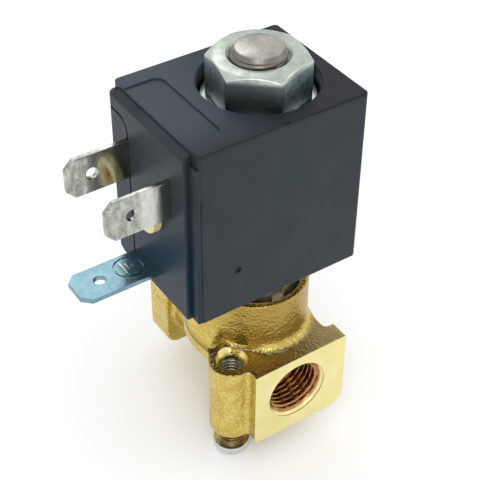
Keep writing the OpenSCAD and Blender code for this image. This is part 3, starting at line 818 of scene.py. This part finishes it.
def cup_bore():
    """Stepped bore for the guide flange and plunger, which leaves the raised valve seat."""
    path = [
        (0, PORT_Z), (ORIFICE_R, PORT_Z), (ORIFICE_R, SEAT_TOP - 0.15), (ORIFICE_R + 0.15, SEAT_TOP),
        (SEAT_R, SEAT_TOP), (SEAT_R + 0.15, SEAT_TOP - 0.2), (SEAT_R + 0.35, CHAMBER_FLOOR + 0.2),
        (SEAT_R + 0.65, CHAMBER_FLOOR), (CHAMBER_R, CHAMBER_FLOOR), (CHAMBER_R, SEAL_STEP),
        (SEAL_R, SEAL_STEP), (SEAL_R, RIM_FLOOR), (RIM_BORE_R, RIM_FLOOR),
        (RIM_BORE_R, CUP_TOP - RIM_LIP), (RIM_BORE_R + RIM_LIP + 1, CUP_TOP + 1), (0, CUP_TOP + 1)
    ]
    return turned("cup_bore", path, 128)


def paint_body(body):
    """Machined metal on the faced and bored surfaces, thread metal inside the tapped holes, with
    painted shade on the ports' threads.
    """
    raw, machined, shaded_port_thread, boss_thread = range(len(BRASS))
    near = 0.03
    for face in body.data.polygons:
        x, y, z = face.center
        port = hypot(x, z - PORT_Z)
        from_face = min(y - BODY_LOW.y, BODY_HIGH.y - y)
        faced = abs(face.normal.y) > 0.99 and from_face < near
        hole = min(hypot(x - c[0], y - c[1]) for c in (BOSS, FAR_BOSS))
        in_boss = z < BLOCK_TOP + 0.1
        in_cup = hypot(x, y) < RIM_BORE_R + 0.35 and z > CHAMBER_FLOOR - 0.3
        in_port = port < PORT_MOUTH + 0.05 and (y < -1 or y > 5)
        metal = raw
        if faced or in_cup or (in_boss and hole < BOSS_MOUTH + near):
            metal = machined
        # Port threads take the thread brass, darkened and warmed as painted shade and reflection.
        if in_port and not faced:
            mouth = from_face < MOUTH_DEPTH and port > PORT_CREST + 0.02
            metal = machined if mouth else shaded_port_thread
        if in_boss and hole < SCREW_CREST - 0.04:
            metal = boss_thread
        face.material_index = metal


# ---- armature tube, stem and nut

LIFT = 1.25  # plunger's travel, with a little clearance
CORE_R = 4.05
RING_GROOVE = (2.4, 3.1, 0.8)  # shading ring's groove: inner and outer radius, depth
COLLAR_R = 4.5
COLLAR_FOOT = 45.6
COLLAR_TOP = 54.6
STEM_PITCH = 1.25
STEM_R = 3.97
STEM_ROOT = 3.35
STEM_CHAMFER = 0.95
NUT_FLATS = 13.0
NUT_TURN = radians(20)
NUT_ROOT = 3.42
NUT_CREST = 4.04
NUT_CHAMFER = 1.02  # drop of the top's cone at CONE_R
CONE_R = 8.0


def make_core():
    """Fixed core: collar, and the threaded stem that carries the nut."""
    face, top = CORE_LOW.z + 0.01, CORE_HIGH.z
    inner, outer, depth = RING_GROOVE
    path = [
        (0, face), (inner, face), (inner, face + depth), (outer, face + depth), (outer, face),
        (CORE_R, face), (CORE_R, COLLAR_FOOT), (COLLAR_R, COLLAR_FOOT), (COLLAR_R, COLLAR_TOP),
        (STEM_R, COLLAR_TOP + 0.2), (STEM_R, top - STEM_CHAMFER), (3.45, top - 0.16), (3.2, top),
        (0, top)
    ]
    thread = (STEM_PITCH, STEM_R, STEM_ROOT, COLLAR_TOP + 0.6, top - 0.6)
    core = turned("core_stem", path, 128, thread)
    place(smooth(core, 40), "valve", "stainless", ["fixed_core"], STEM_STEEL)


def make_nut():
    """Hex nut with a coned top, softened edges and an M8 thread."""
    low, high = NUT_LOW.z, NUT_HIGH.z
    reach = NUT_FLATS / sqrt(3)
    angles = [NUT_TURN + k * pi / 3 for k in range(6)]
    points = [(reach * cos(a), reach * sin(a), z) for z in (low, high) for a in angles]
    faces = [tuple(range(5, -1, -1)), tuple(range(6, 12))]
    faces += [(k, (k + 1) % 6, 6 + (k + 1) % 6, 6 + k) for k in range(6)]
    nut = new_object("coil_hex_nut", points, faces)
    cone = [
        (0, low - 1), (CONE_R, low - 1), (CONE_R, high - NUT_CHAMFER), (6.42, high - 0.08),
        (6.2, high), (0, high)
    ]
    carve(nut, turned("cone", cone, 192), "INTERSECT")
    soften(nut, 0.13, 2, 20)
    tap = [
        (0, low - 1), (NUT_CREST + 1.3, low - 1), (NUT_ROOT, low + 0.6), (NUT_ROOT, high - 0.95),
        (4.55, high - 0.04), (4.9, high + 0.6), (0, high + 0.6)
    ]
    carve(nut, turned("tap", tap, 128, (STEM_PITCH, NUT_ROOT, NUT_CREST, low - 0.3, high - 0.4)))
    place(smooth(nut, 32), "valve", "zinc_plate", ["coil_nut"], NUT_ZINC)


HEAD_R = 3.02
HEAD_HEIGHT = 2.0
HEAD_DOME = ((1.3, 0.02), (2.1, 0.2), (2.65, 0.5), (2.93, 0.9))  # radius, and height above the end
CROSS = (0.36, 1.55)  # half width and half length of a slot of the cross recess
CROSS_DEPTH = 1.1
SHANK_R = 1.97
SHANK_ROOT = 1.59


def make_screws():
    """The two fixing screws, heads down, with cross recesses and M4 threads."""
    base, top = SCREW_LOW.z, SCREW_HIGH.z
    bearing = base + HEAD_HEIGHT
    path = [(0, base)] + [(radius, base + rise) for radius, rise in HEAD_DOME]
    path += [
        (HEAD_R, base + 1.3), (HEAD_R, bearing - 0.15), (HEAD_R - 0.12, bearing), (SHANK_R, bearing),
        (SHANK_R, top - 0.6), (1.4, top), (0, top)
    ]
    both = None
    for centre in (BOSS, FAR_BOSS):
        screw = turned("screw", path, 64, (SCREW_PITCH, SHANK_R, SHANK_ROOT, bearing + 0.2, top))
        for x, y in (CROSS, CROSS[::-1]):
            carve(screw, block((-x, -y, base - 1), (x, y, base + CROSS_DEPTH)))
        moved(screw, (*centre, 0))
        both = carve(both, screw, "UNION") if both else screw
    both.name = "fixing_screws"
    # Faces above the head's bearing face get the shank's painted shade and brass reflection.
    paint_above(both, bearing + 0.02)
    smooth(both, 40)
    place(both, "valve", "screw_steel", ["bracket_screws"], SCREW_STEEL, SHADED_SHANK_STEEL)


def make_spring():
    """Return spring, at its compressed length so that it clears the tube's foot at full lift."""
    wire, turns, steps, sides = 0.3, 5, 56, 14
    taper = (0.55, 0.85, 0.96)
    radius = (SPRING_HIGH.x - SPRING_LOW.x) / 2 - wire
    rise = SPRING_HIGH.z - SPRING_LOW.z - 2 * wire - LIFT
    count = turns * steps
    points = []
    for i in range(count + 1):
        angle = 2 * pi * i / steps
        end = min(i, count - i)
        thickness = wire * (taper[end] if end < len(taper) else 1)
        height = SPRING_LOW.z + wire + rise * i / count
        for k in range(sides):
            around = 2 * pi * k / sides
            reach = radius + thickness * cos(around)
            points.append((reach * cos(angle), reach * sin(angle),
                           height + thickness * sin(around)))
    faces = ring_faces(count + 1, sides)
    faces += [tuple(range(sides)), tuple(range(count * sides + sides - 1, count * sides - 1, -1))]
    spring = smooth(face_outwards(new_object("return_coil_spring", points, faces)), 60)
    place(spring, "armature", "spring_steel", ["return_spring"], SPRING_STEEL)


def make_plunger():
    """Plunger with softened edges and a pocket for its seal."""
    foot, top = PLUNGER_LOW.z, PLUNGER_HIGH.z - 0.02
    flange_top = foot + 1.1
    pocket = foot + 2.25
    seal_r, flange_r, rod_r = 2.7, 5.1, 3.97
    edge, end_edge = 0.15, 0.3
    path = [
        (0, pocket), (seal_r, pocket), (seal_r, foot), (flange_r - edge, foot), (flange_r, foot + edge),
        (flange_r, flange_top - edge), (flange_r - edge, flange_top), (rod_r, flange_top),
        (rod_r, top - end_edge), (rod_r - end_edge, top), (0, top)
    ]
    plunger = turned("plunger_rod", path, 96)
    place(smooth(plunger, 35), "armature", "stainless", ["plunger"], STAINLESS)


def make_insert():
    """Brass insert in the bush, tapped M3 for the plug's screw."""
    length = INSERT_HIGH.x - INSERT_LOW.x
    outer, root, crest, pitch = 2.0, 1.23, 1.5, 0.5
    tube = [(0, 0), (outer - 0.15, 0), (outer, 0.15), (outer, length), (0, length)]
    insert = turned("bush_insert", tube, 64)
    tap = [(0, -1), (2.75, -1), (root, 0.4), (root, length + 1), (0, length + 1)]
    carve(insert, turned("tap", tap, 48, (pitch, root, crest, -0.5, length + 0.5)))
    smooth(moved(insert, (INSERT_LOW.x, 0, BUSH_Z), 90, "Y"), 40)
    place(insert, "coil", "turned_brass", ["plug_insert"], TURNED_BRASS)


# ---- coil

FACE_X = 17.9  # terminal face, measured from the axis like the next one
TOP_FRONT = 16.6
BACK_X = HOUSING_HIGH.x
HALF_W = HOUSING_HIGH.y
MAIN_CORNERS = (0.45, 0.7, 0.7, 0.6)
FACE_CORNERS = (0.3, 0.3, 0.5, 1.4)
MOULD_EDGE = 0.2
FACE_STEP = 1.3  # terminal face starts this far below the top
LEDGE_DROP = 0.8
LEDGE_FOOT = 0.3
FACE_Y = 9.2
STRIP_X = 17.1
STRIP_Y = 10.9
STRIP_STEP = 0.9
LOWER_CORNER_R = 3.0
POCKET_Y = 5.6
POCKET_TOP = 55.8
POCKET_R = 2.0
POCKET_DEPTH = 0.06
GROOVE = (0.3, 0.18)  # groove's width outside and inside the pocket's edge
GROOVE_DEPTH = 0.45
RECESS_R = 8.65
RECESS_FLOOR = 55.9
RECESS_LIP = 0.18
PANEL_Y = 8.1
PANEL_BACK = 10.9
PANEL_DEPTH = 0.25
PANEL_CORNER = 1.5
BORE_R = 4.65
MOUTH_R = 7.0
MOUTH_TOP = 31.15
DIMPLE_AT = (-10.6, 37.6)  # X and Z of the ejector dimple
DIMPLE_R = 0.55
PARTING_X = (-16.52, -16.38)
PARTING_TOP = 52.0
NICK_X = (-3.2, -2.4)


def arc(cx, cy, radius, start, end, steps=8):
    """Points of an arc, with its angles in degrees."""
    angles = [radians(start + (end - start) * k / steps) for k in range(steps + 1)]
    return [(cx + radius * cos(a), cy + radius * sin(a)) for a in angles]


def rounded(x0, y0, x1, y1, r00, r10, r11, r01):
    """Rectangle's outline with round corners, anticlockwise from (x0, y0)."""
    return (
        arc(x0 + r00, y0 + r00, r00, 180, 270) + arc(x1 - r10, y0 + r10, r10, 270, 360)
        + arc(x1 - r11, y1 - r11, r11, 0, 90) + arc(x0 + r01, y1 - r01, r01, 90, 180)
    )


def prism(name, outline, low, high, edge=0.0, axis="Z"):
    """Outline extruded from low to high along an axis, with its two end edges rounded."""
    n = len(outline)
    points = [(x, y, z) for z in (low, high) for x, y in outline]
    faces = [tuple(range(n - 1, -1, -1)), tuple(range(n, 2 * n))]
    faces += [(k, (k + 1) % n, n + (k + 1) % n, n + k) for k in range(n)]
    shape = face_outwards(new_object(name, points, faces))
    if edge:
        soften(shape, edge, 4, 50)
    if axis == "X":
        shape.data.transform(Matrix(((0, 0, 1, 0), (1, 0, 0, 0), (0, 1, 0, 0), (0, 0, 0, 1))))
    if axis == "Y":
        shape.data.transform(Matrix(((1, 0, 0, 0), (0, 0, -1, 0), (0, 1, 0, 0), (0, 0, 0, 1))))
    return shape


def make_housing():
    """Moulded housing: stepped terminal face, panel and nut recess on top, moulding marks."""
    low, top = HOUSING_LOW.z, HOUSING_HIGH.z
    face_top = top - FACE_STEP
    main = rounded(-TOP_FRONT, -HALF_W, BACK_X, HALF_W, *MAIN_CORNERS)
    housing = prism("coil_moulding", main, low, top, MOULD_EDGE + 0.02)
    front = rounded(-FACE_X, -FACE_Y, 0, HALF_W - 0.05, *FACE_CORNERS)
    carve(housing, prism("front", front, low + 0.02, face_top, MOULD_EDGE), "UNION")
    strip = rounded(-STRIP_X, -STRIP_Y, 0, 0, 0.3, 0.3, 0.3, 0.3)
    carve(housing, prism("strip", strip, low + 0.04, face_top - STRIP_STEP, MOULD_EDGE), "UNION")
    ledge_x, foot = -FACE_X + 0.2, face_top - LEDGE_FOOT
    ledge = [
        (ledge_x, foot), (-TOP_FRONT + 1, foot), (-TOP_FRONT + 1, top - LEDGE_DROP),
        (-TOP_FRONT - 0.12, top - LEDGE_DROP), (ledge_x, face_top)
    ]
    carve(housing, prism("ledge", ledge, -HALF_W + 1.4, FACE_Y - 0.3, 0.14, "Y"), "UNION")
    carve_face(housing)
    panel = rounded(-FACE_X, -PANEL_Y, -PANEL_BACK, PANEL_Y, 0.1, PANEL_CORNER, PANEL_CORNER, 0.1)
    carve(housing, prism("panel", panel, top - PANEL_DEPTH, top + 1))
    recess = [(0, RECESS_FLOOR), (RECESS_R, RECESS_FLOOR), (RECESS_R, top - RECESS_LIP),
              (RECESS_R + RECESS_LIP + 0.5, top + 0.5), (0, top + 0.5)]
    carve(housing, turned("recess", recess, 128))
    mouth = [(0, low - 0.5), (MOUTH_R + 0.4, low - 0.5), (MOUTH_R, low + 0.15), (MOUTH_R, MOUTH_TOP),
             (BORE_R, MOUTH_TOP), (BORE_R, RECESS_FLOOR + 1.1), (0, RECESS_FLOOR + 1.1)]
    carve(housing, turned("mouth", mouth, 96))
    carve_cavities(housing)
    carve_marks(housing)
    place(smooth(housing, 35, True), "coil", "black_moulding", ["coil_housing"], PLASTIC)


def carve_face(housing):
    """Shallow pocket on the terminal face's far side, the groove round it, and the far lower corner."""
    side, below, radius = HALF_W + 1, HOUSING_LOW.z - 1, LOWER_CORNER_R
    centre = (POCKET_Y + POCKET_R, POCKET_TOP - POCKET_R)
    pocket = arc(*centre, POCKET_R, 180, 90, 10)
    pocket += [(side, POCKET_TOP), (side, below), (POCKET_Y, below)]
    carve(housing, prism("pocket", pocket, -FACE_X - 1, -FACE_X + POCKET_DEPTH, axis="X"))
    outer, inner = POCKET_R + GROOVE[0], POCKET_R - GROOVE[1]
    groove = [(centre[0] - outer, below)] + arc(*centre, outer, 180, 90, 10)
    groove += [(side, centre[1] + outer), (side, centre[1] + inner)]
    groove += arc(*centre, inner, 90, 180, 10) + [(centre[0] - inner, below)]
    carve(housing, prism("groove", groove, -FACE_X - 1, -FACE_X + GROOVE_DEPTH, axis="X"))
    middle = (HALF_W - radius, HOUSING_LOW.z + radius)
    corner = arc(*middle, radius, 270, 360, 14)
    corner += [(side, middle[1]), (side, below), (middle[0], below)]
    carve(housing, prism("corner", corner, -FACE_X - 1, BACK_X + 1, axis="X"))


def carve_cavities(housing):
    """Room for the bobbin, the yoke, and the bush with the arm that carries it."""
    yoke_low, yoke_high = box_mm("yoke_frame")
    bobbin_low, bobbin_high = box_mm("bobbin")
    flange_r, low, high = 7.95, bobbin_low.z - 0.1, bobbin_high.z + 0.1
    carve(housing, turned("cavity", [(0, low), (flange_r, low), (flange_r, high), (0, high)], 96))
    plate, back = 2, 1.5
    for z0, z1 in ((yoke_low.z, yoke_low.z + plate), (yoke_high.z - plate, yoke_high.z)):
        carve(housing, block((yoke_low.x, yoke_low.y, z0), (yoke_high.x, yoke_high.y, z1)))
    carve(housing, block((yoke_high.x - back, yoke_low.y, yoke_low.z), yoke_high))
    arm, arm_front, arm_back = 3.6, -FACE_X + 4.8, -7
    carve(housing, block((arm_front, -arm, BUSH_Z - arm), (arm_back, arm, BUSH_Z + arm)))
    carve(housing, block((arm_back - 2, -3, bobbin_low.z), (arm_back, 3, bobbin_high.z)))
    radius, length = 3.0, 8
    hole = turned("bush", [(0, 0), (radius, 0), (radius, length), (0, length)], 64)
    carve(housing, moved(hole, (-FACE_X - 1, 0, BUSH_Z), 90, "Y"))


def carve_marks(housing):
    """Ejector dimple and parting groove on the near side, and a nick on the top's edge."""
    low, high, side = HOUSING_LOW.z, HOUSING_HIGH.z, -HALF_W
    dimple = turned("dimple", [(0, -0.2), (DIMPLE_R, -0.2), (DIMPLE_R - 0.05, 0.3), (0, 0.35)], 24)
    carve(housing, moved(dimple, (DIMPLE_AT[0], side, DIMPLE_AT[1]), -90))
    carve(housing, block((PARTING_X[0], side - 1, low - 1), (PARTING_X[1], side + 0.16, PARTING_TOP)))
    carve(housing, block((NICK_X[0], side - 1, high - 0.12), (NICK_X[1], side + 0.3, high + 1)))


def earth_mark():
    """Protective-earth sign: a sunk ring around three raised bars, on the earth blade."""
    centre = (HOUSING_LOW.x - 3.27, (EARTH_LOW.y + EARTH_HIGH.y) / 2 + 0.25)
    top, depth, raised, half, radius = EARTH_HIGH.z, 0.2, 0.14, 0.12, 2.1
    floor, outer, inner = top - depth, radius + half, radius - half
    ring = turned("ring", [(0, floor), (outer, floor), (outer, top + 1), (0, top + 1)], 64)
    core = turned("core", [(0, top - 1), (inner, top - 1), (inner, top + 2), (0, top + 2)], 64)
    tools = [carve(ring, core)]
    for x, length in ((-0.8, 2.5), (-0.05, 1.6), (0.65, 0.8)):
        y = length / 2
        tools.append(block((x - half, -y, floor), (x + half, y, top + raised)))
    return [moved(tool, (*centre, 0)) for tool in tools]


def make_terminals():
    """The two upright blades, and the lying earth blade with its sign."""
    for node, name in (("terminal_line", "blade_line"), ("terminal_neutral", "blade_neutral")):
        blade = soften(copy_of(node, name), 0.17, 3, 40)
        place(smooth(blade, 32, True), "coil", "tinned_brass", [node], TIN)
    earth = soften(copy_of("terminal_earth", "blade_earth"), 0.14, 3, 40)
    for tool in earth_mark():
        carve(earth, tool, "UNION" if tool.name.startswith("block") else "DIFFERENCE")
    # The raised bars of the earth sign take the bright zinc as a painted highlight.
    paint_above(earth, EARTH_HIGH.z + 0.1)
    place(smooth(earth, 32, True), "coil", "earth_plate", ["terminal_earth"], EARTH_PLATE, ZINC)


def make_plain_parts():
    """CAD shapes that only need softer edges."""
    for node, name, width, body, slot, material in (
        ("guide_flange", "spanner_flange", 0.12, "valve", "flange_steel", FLANGE_STEEL),
        ("nut_washer", "plain_washer", 0.12, "valve", "zinc_plate", ZINC),
        ("bobbin", "coil_bobbin", 0.12, "coil", "ivory_plastic", IVORY),
        ("yoke_frame", "bent_yoke", 0.15, "coil", "yoke_steel", YOKE_STEEL),
    ):
        place(smooth(soften(copy_of(node, name), width, 2, 40), 32, True), body, slot, [node], material)


def finish_cad_nodes():
    """Materials for the CAD nodes that stay as they are."""
    for material, nodes in (
        (STAINLESS, ("guide_tube",)),
        (RUBBER, ("body_seal", "plunger_seal")),
        (COPPER, ("winding", "shading_ring", "lead_line", "lead_neutral")),
        (TAPE, ("winding_tape",)),
    ):
        for node in nodes:
            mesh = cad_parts[node].data
            mesh.materials.clear()
            mesh.materials.append(material)


# ---- studio

FLOOR_HALF = 2.0  # metres, as the lights and the camera are
WORLD_STRENGTH = 0.92
LIGHT_SIZE = 0.3
LIGHT_AIM = Vector((0, 0, 0.03))
LIGHTS = (  # name, place and power in watts
    ("key", (-0.25, -0.35, 0.45), 0.8),
    ("fill", (0.4, -0.2, 0.3), 0.2),
    ("back", (0.05, 0.4, 0.4), 0.3),
)
CAMERA_PLACE = (-0.07968, -0.11344, 0.14739)
CAMERA_TURN = (-34.103, 40.169, 0.436)  # azimuth, elevation and roll in degrees
CAMERA_LENS = 89.1  # millimetres, on a sensor 36 mm wide


def make_studio():
    """Pale floor, white surroundings and three soft lights."""
    size, level = FLOOR_HALF, cad_box[0][2]
    corners = ((-size, -size), (size, -size), (size, size), (-size, size))
    floor = new_object("floor", [(x, y, level) for x, y in corners], [(0, 1, 2, 3)])
    floor.data.materials.append(pale_floor())
    world = bpy.data.worlds.new("studio")
    world.use_nodes = True
    background = world.node_tree.nodes["Background"]
    background.inputs["Color"].default_value = (1, 1, 1, 1)
    background.inputs["Strength"].default_value = WORLD_STRENGTH
    bpy.context.scene.world = world
    for name, place_at, power in LIGHTS:
        light = bpy.data.lights.new(name, "AREA")
        light.size = LIGHT_SIZE
        light.energy = power
        lamp = linked(name, light)
        lamp.location = place_at
        lamp.rotation_euler = (LIGHT_AIM - Vector(place_at)).to_track_quat("-Z", "Y").to_euler()
    bpy.context.scene.view_settings.view_transform = "Standard"


def make_camera():
    """Camera at the photograph's angle."""
    azimuth, elevation, roll = (radians(a) for a in CAMERA_TURN)
    right = Vector((cos(azimuth), sin(azimuth), 0))
    level = cos(elevation)
    back = Vector((sin(azimuth) * level, -cos(azimuth) * level, sin(elevation)))
    up = back.cross(right)
    turned_right = right * cos(roll) + up * sin(roll)
    turned_up = up * cos(roll) - right * sin(roll)
    data = bpy.data.cameras.new("camera")
    data.lens = CAMERA_LENS
    data.sensor_width = 36
    data.clip_start = 0.01
    data.clip_end = 10
    camera = linked("camera", data)
    turn = Matrix((turned_right, turned_up, back)).transposed().to_4x4()
    camera.matrix_world = Matrix.Translation(CAMERA_PLACE) @ turn
    bpy.context.scene.camera = camera


make_studio()
make_camera()
make_body()
make_core()
make_nut()
make_screws()
make_spring()
make_plunger()
make_insert()
make_housing()
make_terminals()
make_plain_parts()
finish_cad_nodes()
